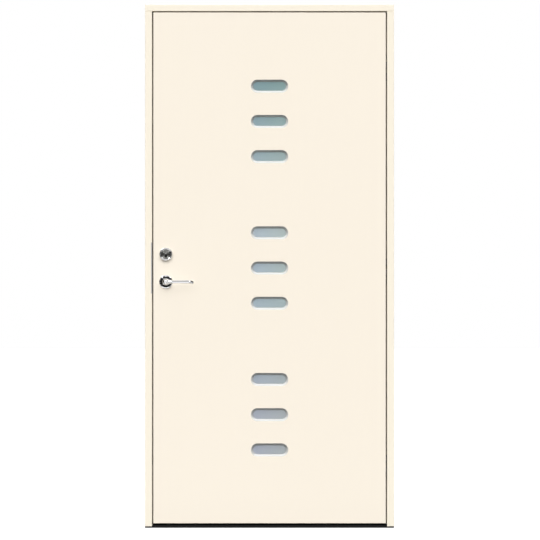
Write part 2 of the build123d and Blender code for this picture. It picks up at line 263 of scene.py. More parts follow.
def satinPane():  # etched glass: soft grey-blue that deepens to green-grey toward the top lights and shifts from left to right, a painted reflection
    look = glassLook
    finish = newFinish("satinGlass", Specular_IOR_Level=look["specular"], Coat_Weight=look["coat"],
                       Coat_Roughness=look["coatRoughness"], IOR=look["ior"],
                       Transmission_Weight=look["transmission"], Emission_Strength=look["glow"])
    x, z = finish.node("ShaderNodeSeparateXYZ", {}, {0: finish.place()}, ("X", "Z"))
    drift = finish.noise(*look["drift"]) - 0.5  # to both sides of zero
    etch = finish.noise(*look["etch"])
    # painted reflection: the tint climbs with height and shifts from left to right
    climb = z * look["climbPerMetre"] + drift * look["climbDrift"]
    side = (x * look["castPerMetre"] + 0.5 + drift * look["castDrift"]).atLeast(0).atMost(1)
    cast = finish.between(side, look["leftCast"], look["rightCast"])
    tint = finish.between(1.0, finish.ramp(climb, look["climb"]), cast, "MULTIPLY")
    return dress(
        finish,
        Base_Color=finish.between(look["depth"], tint, black),
        # painted light: the pane glows in its own tint
        Emission_Color=tint,
        Roughness=look["roughness"] + etch * look["etchMatte"],
        Normal=finish.relief(etch, *look["relief"]),
    )


satinGlass = satinPane()


drawnLook = {
    "shared": {
        "runDetail": (4, 0.7), "smear": (18, 3), "relief": (0.10, 0.1 * mm),
        "lineShare": 0.7,  # of the tint, the smear has the rest
        "roughness": 0.42, "lineMatte": 0.18, "metallic": 0.55, "smearMetal": 0.25, "specular": 0.5,
    },
    "brushedSteel": {"run": (1500, 1500, 14), "light": (0.60, 0.59, 0.57), "dark": (0.44, 0.43, 0.41)},
    "screwSteel": {"run": (900, 900, 900), "light": (0.66, 0.65, 0.63), "dark": (0.50, 0.49, 0.47)},
    # painted shade: the key plug is tinted near black, for the darkness deep in the keyhole
    "plugSteelPaintedShade": {"run": (700, 700, 90), "light": (0.035, 0.034, 0.032), "dark": (0.012, 0.012, 0.011)},
    "glazingTrim": {  # anodised sheet, with its lines round the opening
        "run": (30, 1400, 30), "light": (0.68, 0.68, 0.665), "dark": (0.62, 0.62, 0.605),
        "runDetail": (3, 0.6), "smear": (25, 3), "relief": (0.06, 0.1 * mm), "lineShare": 0.5,
        "roughness": 0.46, "lineMatte": 0.12, "metallic": 0.0, "smearMetal": 0.05, "specular": 0.4,
    },
}


def drawnMetal(name):  # fine lines under a faint smear, or an even grain on screws
    look = {**drawnLook["shared"], **drawnLook[name]}
    finish = newFinish(name, Specular_IOR_Level=look["specular"])
    lines = finish.noise(look["run"], *look["runDetail"])
    smear = finish.noise(*look["smear"])
    shade = lines * look["lineShare"] + smear * (1 - look["lineShare"])
    return dress(
        finish,
        Base_Color=finish.between(shade, look["dark"], look["light"]),
        Roughness=look["roughness"] + lines * look["lineMatte"],
        Metallic=look["metallic"] + smear * look["smearMetal"],
        Normal=finish.relief(lines, *look["relief"]),
    )


brushedSteel = drawnMetal("brushedSteel")
screwSteel = drawnMetal("screwSteel")
plugSteelPaintedShade = drawnMetal("plugSteelPaintedShade")
glazingTrim = drawnMetal("glazingTrim")


chromeLook = {
    "light": (0.92, 0.92, 0.93), "dark": (0.86, 0.86, 0.87),
    "marks": (70, 5, 0.65), "markFrom": 0.55, "markEdge": 4,
    "wipe": ((40, 400, 400), 3), "relief": (0.015, 0.1 * mm),
    "roughness": 0.05, "markMatte": 0.09, "metallic": 0.96, "wipeMetal": 0.04,
}


def plated():  # bright plating, with finger marks that only the gloss shows
    look = chromeLook
    finish = newFinish("chromePlate")
    marks = finish.noise(*look["marks"])
    wipe = finish.noise(*look["wipe"])
    touched = ((marks - look["markFrom"]) * look["markEdge"]).atLeast(0).atMost(1)
    return dress(
        finish,
        Base_Color=finish.between(wipe, look["light"], look["dark"]),
        Roughness=look["roughness"] + touched * look["markMatte"],
        Metallic=look["metallic"] + wipe * look["wipeMetal"],
        Normal=finish.relief(wipe, *look["relief"]),
    )


chromePlate = plated()


turnedLook = {
    "light": (0.25, 0.25, 0.24), "dark": (0.16, 0.16, 0.152),
    "mottle": (240, 4, 0.7), "relief": (0.04, 0.1 * mm),
    "roughness": 0.16, "mottleMatte": 0.10, "metallic": 0.85, "mottleMetal": 0.15,
}


def turnedFace():  # lathe-turned nickel: the rings are in the shape, the tint is a fine mottle
    look = turnedLook
    finish = newFinish("turnedSteel")
    mottle = finish.noise(*look["mottle"])
    return dress(
        finish,
        Base_Color=finish.between(mottle, look["dark"], look["light"]),
        Roughness=look["roughness"] + mottle * look["mottleMatte"],
        Metallic=look["metallic"] + mottle * look["mottleMetal"],
        Normal=finish.relief(mottle, *look["relief"]),
    )


turnedSteel = turnedFace()


spacerLook = {
    # the hole tint is painted shade inside the perforations
    "bar": (0.50, 0.50, 0.51), "hole": (0.10, 0.10, 0.10),
    "pricks": 380.0, "holeSize": 0.3, "holeEdge": 6, "relief": (0.2, 0.3 * mm),
    "roughness": 0.38, "holeMatte": 0.2, "metallic": 0.8, "holeMetal": -0.5, "specular": 0.5,
}


def milled():  # dull spacer bar, pricked along its run; the pricks are painted dark, a painted shade for each perforation
    look = spacerLook
    finish = newFinish("spacerBar", Specular_IOR_Level=look["specular"])
    sockets = {"Vector": finish.place(), "Scale": look["pricks"]}
    pricks = finish.node("ShaderNodeTexVoronoi", {"feature": "F1"}, sockets, "Distance")
    # painted shade: where a prick falls, the bar turns dark
    holes = ((look["holeSize"] - pricks) * look["holeEdge"]).atLeast(0).atMost(1)
    return dress(
        finish,
        Base_Color=finish.between(holes, look["bar"], look["hole"]),
        Roughness=look["roughness"] + holes * look["holeMatte"],
        Metallic=look["metallic"] + holes * look["holeMetal"],
        Normal=finish.relief(1 - holes, *look["relief"]),
    )


spacerBar = milled()


grainyLook = {
    "coreFibre": {  # pressed board of matted fibres
        "dark": (0.42, 0.36, 0.27), "light": (0.66, 0.59, 0.47),
        "grain": ((60, 260, 260), 6, 0.75), "relief": (0.5, 1 * mm),
        "roughness": 0.85, "grainMatte": 0.1, "specular": 0.2, "sheen": 0.2,
    },
    "glazingBead": {  # grey silicone
        "dark": (0.42, 0.42, 0.40), "light": (0.52, 0.52, 0.50),
        "grain": (300, 3), "relief": (0.1, 0.2 * mm),
        "roughness": 0.5, "grainMatte": 0.15, "specular": 0.35, "sheen": 0.0,
    },
}


def grainy(name):  # tint, gloss and relief follow one grain
    look = grainyLook[name]
    finish = newFinish(name, Specular_IOR_Level=look["specular"], Sheen_Weight=look["sheen"])
    grain = finish.noise(*look["grain"])
    return dress(
        finish,
        Base_Color=finish.between(grain, look["dark"], look["light"]),
        Roughness=look["roughness"] + grain * look["grainMatte"],
        Normal=finish.relief(grain, *look["relief"]),
    )


coreFibre = grainy("coreFibre")
glazingBead = grainy("glazingBead")
print("finishes made:", len(bpy.data.materials))


# Modelling by operators

def startEdit():
    bpy.ops.object.mode_set(mode="EDIT")


def leaveEdit():
    bpy.ops.object.mode_set(mode="OBJECT")


def deselectAll():
    if bpy.context.object and bpy.context.object.mode != "OBJECT":
        leaveEdit()
    bpy.ops.object.select_all(action="DESELECT")


def begin(name):  # the primitive just added: its place goes into its mesh
    piece = bpy.context.object
    piece.name = name
    piece.data.name = name
    bpy.ops.object.transform_apply(location=True, rotation=True, scale=True)
    startEdit()
    bpy.ops.mesh.select_all(action="SELECT")
    return piece


def activate(piece):
    deselectAll()
    piece.select_set(True)
    bpy.context.view_layer.objects.active = piece


def pick(piece, kind, test):  # selects corners and edges by their place, faces by their normal
    activate(piece)
    startEdit()
    bpy.ops.mesh.select_mode(type=kind)
    bpy.ops.mesh.select_all(action="DESELECT")
    leaveEdit()
    mesh = piece.data
    if kind == "VERT":
        for corner in mesh.vertices:
            corner.select = test(corner.co)
    elif kind == "EDGE":
        for edge in mesh.edges:
            edge.select = all(test(mesh.vertices[i].co) for i in edge.vertices)
    else:
        for face in mesh.polygons:
            face.select = test(face.normal)
    startEdit()


def shift(x=0.0, z=0.0):
    bpy.ops.transform.translate(value=(x, 0, z))


def extrude(x=0.0, y=0.0, z=0.0):
    bpy.ops.mesh.extrude_region_move(TRANSFORM_OT_translate={"value": (x, y, z)})


def resize(scale, centre):
    bpy.ops.transform.resize(value=scale, center_override=centre)


def bevelEdges(width, steps):
    bpy.ops.mesh.bevel(offset=width, segments=steps, affect="EDGES")


def smooth(piece, angle):
    activate(piece)
    bpy.ops.object.shade_smooth_by_angle(angle=math.radians(angle))
    return piece


mergeReach = 0.002 * mm
usualAngle = 25  # degrees, an edge that turns more stays sharp


def closeUp(piece, angle=usualAngle):  # merged, facing outward, smooth except over real edges
    activate(piece)
    startEdit()
    bpy.ops.mesh.select_mode(type="VERT")
    bpy.ops.mesh.select_all(action="SELECT")
    bpy.ops.mesh.remove_doubles(threshold=mergeReach)
    bpy.ops.mesh.normals_make_consistent(inside=False)
    leaveEdit()
    return smooth(piece, angle)


def modify(piece, kind, **settings):
    activate(piece)
    step = piece.modifiers.new(kind.lower(), kind)
    for key, setting in settings.items():
        setattr(step, key, setting)
    bpy.ops.object.modifier_apply(modifier=step.name)


def combine(piece, tool, operation):  # UNION adds the tool's shape, DIFFERENCE cuts it away
    modify(piece, "BOOLEAN", operation=operation, object=tool, solver="EXACT")
    bpy.data.objects.remove(tool, do_unlink=True)


def joined(piece, *others):
    activate(piece)
    for other in others:
        other.select_set(True)
    bpy.ops.object.join()
    return piece


def copyOf(piece, name):  # a copy with its own mesh
    activate(piece)
    bpy.ops.object.duplicate(linked=False)
    made = bpy.context.object
    made.name = name
    made.data.name = name
    return made


def mirrored(piece, name):  # the same piece on the other face of the leaf
    made = copyOf(piece, name)
    startEdit()
    bpy.ops.mesh.select_all(action="SELECT")
    resize((1, -1, 1), (0, midPlane, 0))
    return closeUp(made)


def addBlock(name, middle, size):
    deselectAll()
    bpy.ops.mesh.primitive_cube_add(size=1, location=middle, scale=size)
    return begin(name)


def addRing(name, sides, radius, centre, turn, solid):
    deselectAll()
    bpy.ops.mesh.primitive_circle_add(vertices=sides, radius=radius, location=centre, rotation=turn,
                                      fill_type="NGON" if solid else "NOTHING")
    return begin(name)


def drawRing(name, x, z, stations, sides, turn=0.0, solid=False):  # each station has a radius and its Y
    radius, y = stations[0]
    piece = addRing(name, sides, radius, (x, y, z), (rightAngle, turn, 0), solid)
    for nextRadius, nextY in stations[1:]:
        extrude(y=nextY - y)
        ratio = nextRadius / radius
        resize((ratio, 1, ratio), (x, nextY, z))
        radius, y = nextRadius, nextY
    leaveEdit()
    return piece


def turnPiece(name, centre, way, profile, sides=96, solid=False, sharp=usualAngle):
    x, y, z = centre
    stations = [(radius, y + way * height) for radius, height in profile]  # heights over the centre
    return closeUp(drawRing(name, x, z, stations, sides, solid=solid), sharp)


def partWay(first, second, part):
    return first + (second - first) * part


def eased(part):  # slow at both ends
    return (1 - math.cos(part * math.pi)) / 2


def quarterRound(turns, inner, outer, low, high):  # radii and heights on a quarter of an oval
    angles = [math.radians(turn) for turn in turns]
    return [(partWay(inner, outer, math.cos(angle)), partWay(low, high, math.sin(angle)))
            for angle in angles]


def finishPiece(piece, body, material, slot, *replaced):
    piece.data.materials.clear()
    piece.data.materials.append(material)
    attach(piece, body)
    if replaced:
        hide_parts(*replaced)


def finishPair(outer, innerName, body, material, slot, *replaced):  # the piece, and its twin inside
    inner = mirrored(outer, innerName)
    finishPiece(outer, body, material, slot, *replaced[:1])
    finishPiece(inner, body, material, slot, *replaced[1:])
    return outer, inner


# Places that the pieces share, read from the frame

skinLow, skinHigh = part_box("outer_skin")
leafFront = skinLow.y
splayEnd = skinHigh.y  # back of the glazing blocks, which the windows' splays run through
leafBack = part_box("inner_skin")[1].y
leafMiddle = (skinLow.z + skinHigh.z) / 2
midPlane = (leafFront + leafBack) / 2


def middleOf(name):
    low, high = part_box(name)
    return (low + high) / 2


def turnedSize(name):  # outer radius and height of a turned node
    low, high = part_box(name)
    return (high.x - low.x) / 2, high.y - low.y


lockX = middleOf("outside_rose").x
spindleZ = middleOf("outside_rose").z
cylinderZ = middleOf("cylinder_ring").z
lockY = middleOf("mortise_lock").y
seat = 0.02 * mm  # a hair of room between pieces that meet


# The leaf's two skins, with nine bevelled slots each

leafLook = {
    "skin": 9 * mm, "arris": 1.5 * mm, "arrisSteps": 4,
    "slotRadius": 19 * mm, "slotSides": 112,
    "slotReach": 48 * mm,  # half the straight run between the round ends
    "bevel": 7 * mm,
    "blockSize": (158 * mm, 62 * mm),
    "blockLap": 1 * mm,  # how far the glazing blocks start inside the skin
    "groupPitch": 583 * mm, "pitch": 140 * mm,
    "holes": ((11 * mm, spindleZ), (16 * mm, cylinderZ)),  # radius and height of each
    "holeDepth": 11 * mm, "holeSides": 48,
    "past": 1 * mm,  # how far cutters reach past a face
    "near": 0.01 * mm,  # what counts as on the face
    "sharp": 8,
}
slotHeights = [leafMiddle + group * leafLook["groupPitch"] + step * leafLook["pitch"]
               for group in (1, 0, -1) for step in (1, 0, -1)]


def repeatUp(piece, heights):  # copies of the first one at the other heights, in the same mesh
    first = heights[0]
    for height in heights[1:]:
        pick(piece, "VERT", lambda p: abs(p.z - first) < leafLook["pitch"] / 2)
        bpy.ops.mesh.duplicate_move(TRANSFORM_OT_translate={"value": (0, 0, height - first)})
    leaveEdit()


def slotRing(name, stations, solid=False):  # a ring at the top slot, parted between its round ends
    sides = leafLook["slotSides"]
    piece = drawRing(name, 0, slotHeights[0], stations, sides, math.pi / sides, solid)
    pick(piece, "VERT", lambda p: p.x > 0)
    shift(x=leafLook["slotReach"])
    pick(piece, "VERT", lambda p: p.x < 0)
    shift(x=-leafLook["slotReach"])
    leaveEdit()
    return piece


def slotRings(name, stations, sharp):  # the same ring in every slot
    rings = slotRing(name, stations)
    closeUp(rings, sharp)
    repeatUp(rings, slotHeights)
    return closeUp(rings, sharp)


def makeOuterSkin():
    look = leafLook
    skinBack = leafFront + look["skin"]
    skin = addBlock("outerSkin", (0, leafFront + look["skin"] / 2, leafMiddle),
                    (skinHigh.x - skinLow.x, look["skin"], skinHigh.z - skinLow.z))
    pick(skin, "EDGE", lambda p: p.y < leafFront + look["near"])
    bevelEdges(look["arris"], look["arrisSteps"])
    leaveEdit()

    blockFront = skinBack - look["blockLap"]
    wide, tall = look["blockSize"]
    blocks = addBlock("glazingBlocks", (0, (blockFront + splayEnd) / 2, slotHeights[0]),
                      (wide, splayEnd - blockFront, tall))
    repeatUp(blocks, slotHeights)
    combine(skin, blocks, "UNION")

    inner = look["slotRadius"]
    past = look["past"]
    slope = look["bevel"] / (splayEnd - leafFront)
    slots = slotRing("slotCutter", [
        (inner + look["bevel"] + slope * past, leafFront - past),
        (inner - slope * past, splayEnd + past),
    ], True)
    closeUp(slots)
    repeatUp(slots, slotHeights)
    combine(skin, slots, "DIFFERENCE")

    for radius, z in look["holes"]:
        profile = [(radius, -past), (radius, look["holeDepth"])]
        hole = turnPiece("holeCutter", (lockX, leafFront, z), 1, profile, look["holeSides"], True)
        combine(skin, hole, "DIFFERENCE")
    return closeUp(skin, look["sharp"])


finishPair(makeOuterSkin(), "innerSkin", "leaf", leafPaint, "cream_paint", "outer_skin", "inner_skin")
print("skins cut:", len(slotHeights), "slots each")


# A thin metal trim lines every slot, and a slim silicone bead runs between it and the pane

trimLook = {
    "sheet": 0.45 * mm,
    "inset": 0.12 * mm,  # behind the leaf's face
    "mouthGap": 0.08 * mm, "footGap": 0.03 * mm, "lip": 0.05 * mm,
    "sharp": 30,
}


def makeTrims():
    look = trimLook
    inner = leafLook["slotRadius"]
    mouth = inner + leafLook["bevel"]
    front = leafFront + look["inset"]
    base = splayEnd - seat
    return slotRings("outerTrims", [
        (mouth - look["mouthGap"], front),
        (inner - look["footGap"], base),
        (inner - look["sheet"], base),
        (mouth - look["sheet"] - look["lip"], front),
        (mouth - look["mouthGap"], front),
    ], look["sharp"])


beadLook = {
    "width": 1.2 * mm, "lift": 1.0 * mm,
    "lean": 0.3 * mm,  # over the trim's foot
    "crown": 0.45, "crownDrop": 0.15 * mm,  # where it turns down, as a share of the width
    "edge": 0.25 * mm,
    "sharp": 60,
}


def makeBeads():
    look = beadLook
    outer = leafLook["slotRadius"] - trimLook["sheet"] - seat
    inner = outer - look["width"]
    top = splayEnd - look["lift"]
    return slotRings("outerBeads", [
        (outer, splayEnd),
        (outer + look["lean"], top),
        (outer - look["width"] * look["crown"], top + look["crownDrop"]),
        (inner, splayEnd - look["edge"]),
        (inner, splayEnd),
        (outer, splayEnd),
    ], look["sharp"])


finishPair(makeTrims(), "innerTrims", "leaf", glazingTrim, "steel")
finishPair(makeBeads(), "innerBeads", "leaf", glazingBead, "seal_rubber")
print("trims and beads laid")


# Roses, cylinder ring, cylinder face and key plug

roseLook = {
    "rim": 4.5 * mm, "rollRise": 2.6 * mm, "rollIn": 3.2 * mm, "rollTurns": (20, 40, 60, 80),
    "flatIn": 3.9 * mm,
    "bellIn": 4.4 * mm, "bellFoot": 0.1 * mm, "bellTop": 0.2 * mm, "bellSteps": 5,
    "lip": 13.6 * mm, "throat": 10.3 * mm, "round": 0.4 * mm,
    "sharp": 24,
}


def makeRose():
    look = roseLook
    outer, height = turnedSize("outside_rose")
    rim = look["rim"]
    throat = look["throat"]
    wall = rim - look["rollRise"]
    profile = [(throat, seat), (outer, seat), (outer, wall)]
    profile += quarterRound(look["rollTurns"], outer - look["rollIn"], outer, wall, rim)  # rolled rim
    profile.append((outer - look["flatIn"], rim))
    for step in range(look["bellSteps"] + 1):  # straight-sided bell
        part = step / look["bellSteps"]
        profile.append((partWay(outer - look["bellIn"], look["lip"] + look["round"], part),
                        partWay(rim + look["bellFoot"], height - look["bellTop"], part)))
    profile += [(look["lip"], height), (throat + look["round"], height),
                (throat, height - look["round"]), (throat, seat)]
    return turnPiece("outsideRose", (lockX, leafFront, spindleZ), -1, profile, sharp=look["sharp"])


finishPair(makeRose(), "insideRose", "leaf", chromePlate, "chrome", "outside_rose", "inside_rose")


ringLook = {
    "bore": 19.7 * mm, "wall": 3.2 * mm,
    "crestOut": 0.2 * mm,  # the crest lies outside the middle of the ring
    "fall": 1.6 * mm, "boreDrop": 1.8 * mm,
    "shoulderTurns": range(10, 100, 10), "fallTurns": range(75, 0, -15),
    "sharp": 30,
}


def makeRing():
    look = ringLook
    outer, height = turnedSize("cylinder_ring")
    bore = look["bore"]
    wall = look["wall"]
    crest = (outer + bore) / 2 + look["crestOut"]
    profile = [(bore, seat), (outer, seat), (outer, wall)]
    profile += quarterRound(look["shoulderTurns"], crest, outer, wall, height)
    profile += quarterRound(look["fallTurns"], crest, bore, height - look["fall"], height)  # into the bore
    profile += [(bore, height - look["boreDrop"]), (bore, seat)]
    return turnPiece("cylinderRing", (lockX, leafFront, cylinderZ), -1, profile, sharp=look["sharp"])


finishPiece(makeRing(), "leaf", chromePlate, "chrome", "cylinder_ring")


cylinderLow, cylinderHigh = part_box("lock_cylinder")
cylinderLook = {
    "radius": 15 * mm,
    "face": cylinderHigh.x - lockX,
    "height": leafFront - cylinderLow.y,
    "chamfer": 0.6 * mm, "border": 1.1 * mm,
    "ringPitch": 1.2 * mm, "ringDepth": 0.12 * mm, "ringSteps": 8,
    "core": 0.5 * mm, "point": 0.4 * mm,  # the rings end at the core
    "sides": 80, "sharp": 60,
    "keyRadius": 5.7 * mm, "keyDepth": 5 * mm, "keySides": 48,
    "keyDrop": 7 * mm,  # below the middle
    "keyFlare": 0.5 * mm, "flareStart": 0.1 * mm, "past": 1 * mm,
}
keyZ = cylinderZ - cylinderLook["keyDrop"]


def makeCylinder():
    look = cylinderLook
    top = look["height"]
    depth = look["ringDepth"]
    profile = [(look["radius"], leafFront - leafBack), (look["radius"], 0.0), (look["face"], 0.0),
               (look["face"], top - look["chamfer"]), (look["face"] - look["chamfer"], top)]
    radius = look["face"] - look["border"]
    step = 0
    while radius > look["core"]:  # fine turning rings
        profile.append((radius, top - depth + depth * math.sin(step * 2 * math.pi / look["ringSteps"])))
        radius -= look["ringPitch"] / look["ringSteps"]
        step += 1
    profile.append((look["point"], top - depth))
    cylinder = turnPiece("lockCylinder", (lockX, leafFront, cylinderZ), -1, profile,
                         look["sides"], True, look["sharp"])
    key = look["keyRadius"]
    flared = key + look["keyFlare"]
    hole = turnPiece("keyCutter", (lockX, leafFront - top, keyZ), 1, [
        (flared, -look["past"]), (flared, -look["flareStart"]),
        (key, look["keyFlare"]), (key, look["keyDepth"]),
    ], look["keySides"], True)
    combine(cylinder, hole, "DIFFERENCE")
    return smooth(cylinder, look["sharp"])


plugLook = {
    "radius": 5.6 * mm, "height": 2.0 * mm, "chamfer": 0.4 * mm, "point": 0.3 * mm, "sides": 48,
    "slot": (2.2 * mm, 2.4 * mm, 7.6 * mm),
    "slotRise": 1.5 * mm,  # the slot's middle over the plug's foot
    "slotRound": 0.3 * mm, "roundSteps": 2,
    "sharp": 30,
}


def makeKeyPlug():
    look = plugLook
    floor = leafFront - cylinderLook["height"] + cylinderLook["keyDepth"]
    top = look["height"]
    plug = turnPiece("keyPlug", (lockX, floor, keyZ), -1, [
        (look["radius"], 0.0), (look["radius"], top - look["chamfer"]),
        (look["radius"] - look["chamfer"], top), (look["point"], top),
    ], look["sides"], True)
    slot = addBlock("keySlot", (lockX, floor - look["slotRise"], keyZ), look["slot"])
    pick(slot, "EDGE", lambda p: p.y < floor - top)
    bevelEdges(look["slotRound"], look["roundSteps"])
    leaveEdit()
    combine(plug, slot, "DIFFERENCE")
    return closeUp(plug, look["sharp"])


finishPiece(makeCylinder(), "leaf", turnedSteel, "turned_steel", "lock_cylinder")
# painted shade: the plug's near-black tint stands for the dark keyhole
finishPiece(makeKeyPlug(), "leaf", plugSteelPaintedShade, "steel")
print("lock furniture turned")


# Levers

leverLook = {
    "standoff": 46 * mm,  # from the leaf's face to the bar's axis
    "neck": 10 * mm, "neckFoot": -6 * mm, "neckSides": 72,
    "neckTop": 13 * mm,  # before the axis, where the swell begins
    "swell": 6 * mm, "swellSteps": 4,
    "hub": 12 * mm, "domeFoot": 1 * mm, "dome": 10.5 * mm, "domeTurns": range(0, 90, 9), "point": 0.3 * mm,
    "bar": (4.5 * mm, 6.5 * mm),  # half depth and half height
    "barRoot": 9 * mm, "barSides": 56,
    "lead": 4 * mm, "taper": 25 * mm, "taperSteps": 8,
    "straight": 89.17 * mm,  # from the spindle to the bend
    "bendRadius": 24 * mm, "bend": 50, "bendSteps": 14, "droop": 20,
    "tipReach": 0.5, "tipFlat": 0.55, "tipTurns": (20, 40, 60, 78),  # reach as a share of the half depth
    "sharp": 32,
}


def makeNeck():
    look = leverLook
    out = look["standoff"]
    swellFoot = out - look["neckTop"]
    profile = [(look["neck"], look["neckFoot"]), (look["neck"], swellFoot)]
    for step in range(1, look["swellSteps"] + 1):  # swells into the hub
        part = step / look["swellSteps"]
        profile.append((partWay(look["neck"], look["hub"], eased(part)), swellFoot + look["swell"] * part))
    top = out + look["dome"]
    profile += quarterRound(look["domeTurns"], 0, look["hub"], out - look["domeFoot"], top)  # domed front
    profile.append((look["point"], top))
    return turnPiece("outsideLever", (lockX, leafFront, spindleZ), -1, profile, look["neckSides"], True)


def makeBar():
    look = leverLook
    y = leafFront - look["standoff"]
    root = look["barRoot"]
    bar = addRing("leverBar", look["barSides"], root, (lockX, y, spindleZ), (0, rightAngle, 0), True)
    at = 0.0
    size = [root, root]
    for step in range(1, look["taperSteps"] + 1):  # eased taper from the hub to the bar
        part = step / look["taperSteps"]
        nextAt = look["taper"] * part + look["lead"]
        nextSize = [partWay(root, half, eased(part)) for half in look["bar"]]
        extrude(x=nextAt - at)
        resize((1, nextSize[0] / size[0], nextSize[1] / size[1]), (lockX + nextAt, y, spindleZ))
        at, size = nextAt, nextSize
    extrude(x=look["straight"] - at)

    droop = math.radians(look["droop"])
    bend = math.radians(look["bend"])
    radius = look["bendRadius"]
    inward = (0, math.cos(droop), -math.sin(droop))
    start = (lockX + look["straight"], y, spindleZ)
    pivot = [s + i * radius for s, i in zip(start, inward)]
    axis = (0, inward[2], -inward[1])  # spin turns clockwise about its axis
    bpy.ops.mesh.spin(steps=look["bendSteps"], angle=bend, center=pivot, axis=axis, use_auto_merge=False)

    along = [math.cos(bend), inward[1] * math.sin(bend), inward[2] * math.sin(bend)]
    end = [s + i * radius * (1 - math.cos(bend)) for s, i in zip(start, inward)]
    end[0] += radius * math.sin(bend)
    reach = 0.0
    scale = 1.0
    for turn in look["tipTurns"]:  # rounded tip
        angle = math.radians(turn)
        nextReach = look["bar"][0] * look["tipReach"] * math.sin(angle)
        nextScale = partWay(look["tipFlat"], 1, math.cos(angle))
        extrude(*[a * (nextReach - reach) for a in along])
        resize((nextScale / scale,) * 3, [e + a * nextReach for e, a in zip(end, along)])
        reach, scale = nextReach, nextScale
    leaveEdit()
    return closeUp(bar)


outsideLever = closeUp(joined(makeNeck(), makeBar()), leverLook["sharp"])
for lever in finishPair(outsideLever, "insideLever", "lever", chromePlate, "chrome",
                        "outside_lever", "inside_lever"):
    lever.visible_shadow = False  # the photographed handle casts none
print("levers shaped")


# Thumbturn and its rose, inside

turnRoseLook = {
    "wall": 3.5 * mm, "shoulder": 6 * mm, "shoulderTurns": range(15, 105, 15),
    "shoulderTop": 0.2 * mm,  # the shoulder ends this much below the lip
    "boreGap": 0.2 * mm, "lip": 0.6 * mm, "lipDrop": 0.5 * mm,
    "sharp": 28,
}
thumbturnLook = {
    "stem": 8 * mm, "stemFoot": 0.1 * mm, "stemSides": 64,
    "stemLap": 2 * mm,  # the stem's end over the rose, inside the grip
    "width": 13 * mm, "tall": 40 * mm, "depth": 19 * mm, "gripSides": 66,
    "gap": 1 * mm,  # between the rose and the grip
    "waistAt": 0.45, "waist": 0.86, "flare": 1.1,  # share of the depth, then how it narrows and widens
    "round": 1.3 * mm, "roundSteps": 4, "roundFrom": 50,
    "sharp": 26,
}
turnHeight = turnedSize("thumbturn_rose")[1]


def makeTurnRose():
    look = turnRoseLook
    outer, top = turnedSize("thumbturn_rose")
    bore = thumbturnLook["stem"] + look["boreGap"]
    wall = look["wall"]
    profile = [(bore, seat), (outer, seat), (outer, wall)]
    profile += quarterRound(look["shoulderTurns"], outer - look["shoulder"], outer,
                            wall, top - look["shoulderTop"])
    profile += [(bore + look["lip"], top), (bore, top - look["lipDrop"]), (bore, seat)]
    return turnPiece("thumbturnRose", (lockX, leafBack, cylinderZ), 1, profile, sharp=look["sharp"])


def makeGrip():  # a round start, waisted, then parted into a tall grip
    look = thumbturnLook
    base = leafBack + turnHeight
    half = look["width"] / 2
    sides = look["gripSides"]
    turn = (rightAngle, rightAngle + math.pi / sides, 0)
    grip = addRing("thumbGrip", sides, half, (lockX, base + look["gap"], cylinderZ), turn, True)
    for depth, ratio in ((look["waistAt"], look["waist"]), (1 - look["waistAt"], look["flare"])):
        extrude(y=look["depth"] * depth)
        resize((ratio, 1, 1), (lockX, base, cylinderZ))
    reach = look["tall"] / 2 - half
    pick(grip, "VERT", lambda p: p.z > cylinderZ)
    shift(z=reach)
    pick(grip, "VERT", lambda p: p.z < cylinderZ)
    shift(z=-reach)
    closeUp(grip)
    modify(grip, "BEVEL", width=look["round"], segments=look["roundSteps"], limit_method="ANGLE",
           angle_limit=math.radians(look["roundFrom"]))
    return closeUp(grip)


def makeThumbturn():
    look = thumbturnLook
    profile = [(look["stem"], look["stemFoot"]), (look["stem"], turnHeight + look["stemLap"])]
    stem = turnPiece("thumbturn", (lockX, leafBack, cylinderZ), 1, profile, look["stemSides"], True)
    return closeUp(joined(stem, makeGrip()), look["sharp"])


finishPiece(makeTurnRose(), "leaf", chromePlate, "chrome", "thumbturn_rose")
finishPiece(makeThumbturn(), "leaf", chromePlate, "chrome", "thumbturn")
print("thumbturn shaped")


# Countersunk screws, made once and copied

screwLook = {
    "radius": 3.9 * mm, "dome": 0.25 * mm, "rim": 0.25 * mm, "sides": 36,
    "shank": 1.8 * mm, "sink": 2.2 * mm, "point": 0.2 * mm,
    "domeSteps": ((0.85, 0.6), (0.45, 1.0)),  # shares of the radius and of the dome
    "cross": 0.9 * mm, "arm": 4.4 * mm, "crossDepth": 1.6 * mm, "crossTaper": 0.7,
    "sharp": 35,
}


def makeScrew():  # its head faces -Y, with the rim on the origin
    look = screwLook
    radius = look["radius"]
    profile = [(look["shank"], -look["sink"]), (radius, -look["rim"]), (radius, 0.0)]
    profile += [(radius * across, look["dome"] * up) for across, up in look["domeSteps"]]
    profile.append((look["point"], look["dome"]))
    screw = turnPiece("screw", (0, 0, 0), -1, profile, look["sides"], True)
    depth = look["crossDepth"]
    for wide, tall in ((look["cross"], look["arm"]), (look["arm"], look["cross"])):
        arm = addBlock("crossArm", (0, 0, 0), (wide, 2 * depth, tall))
        pick(arm, "FACE", lambda normal: normal.y > 0.9)  # its inner end
        resize((look["crossTaper"], 1, look["crossTaper"]), (0, depth, 0))
        leaveEdit()
        combine(screw, arm, "DIFFERENCE")
    return closeUp(screw, look["sharp"])


def setCopies(pattern, name, turn, places):  # turned, moved and settled
    copies = []
    for place in places:
        made = copyOf(pattern, name)
        made.rotation_euler = turn
        made.location = place
        bpy.ops.object.transform_apply(location=True, rotation=True, scale=True)
        copies.append(made)
    return copies


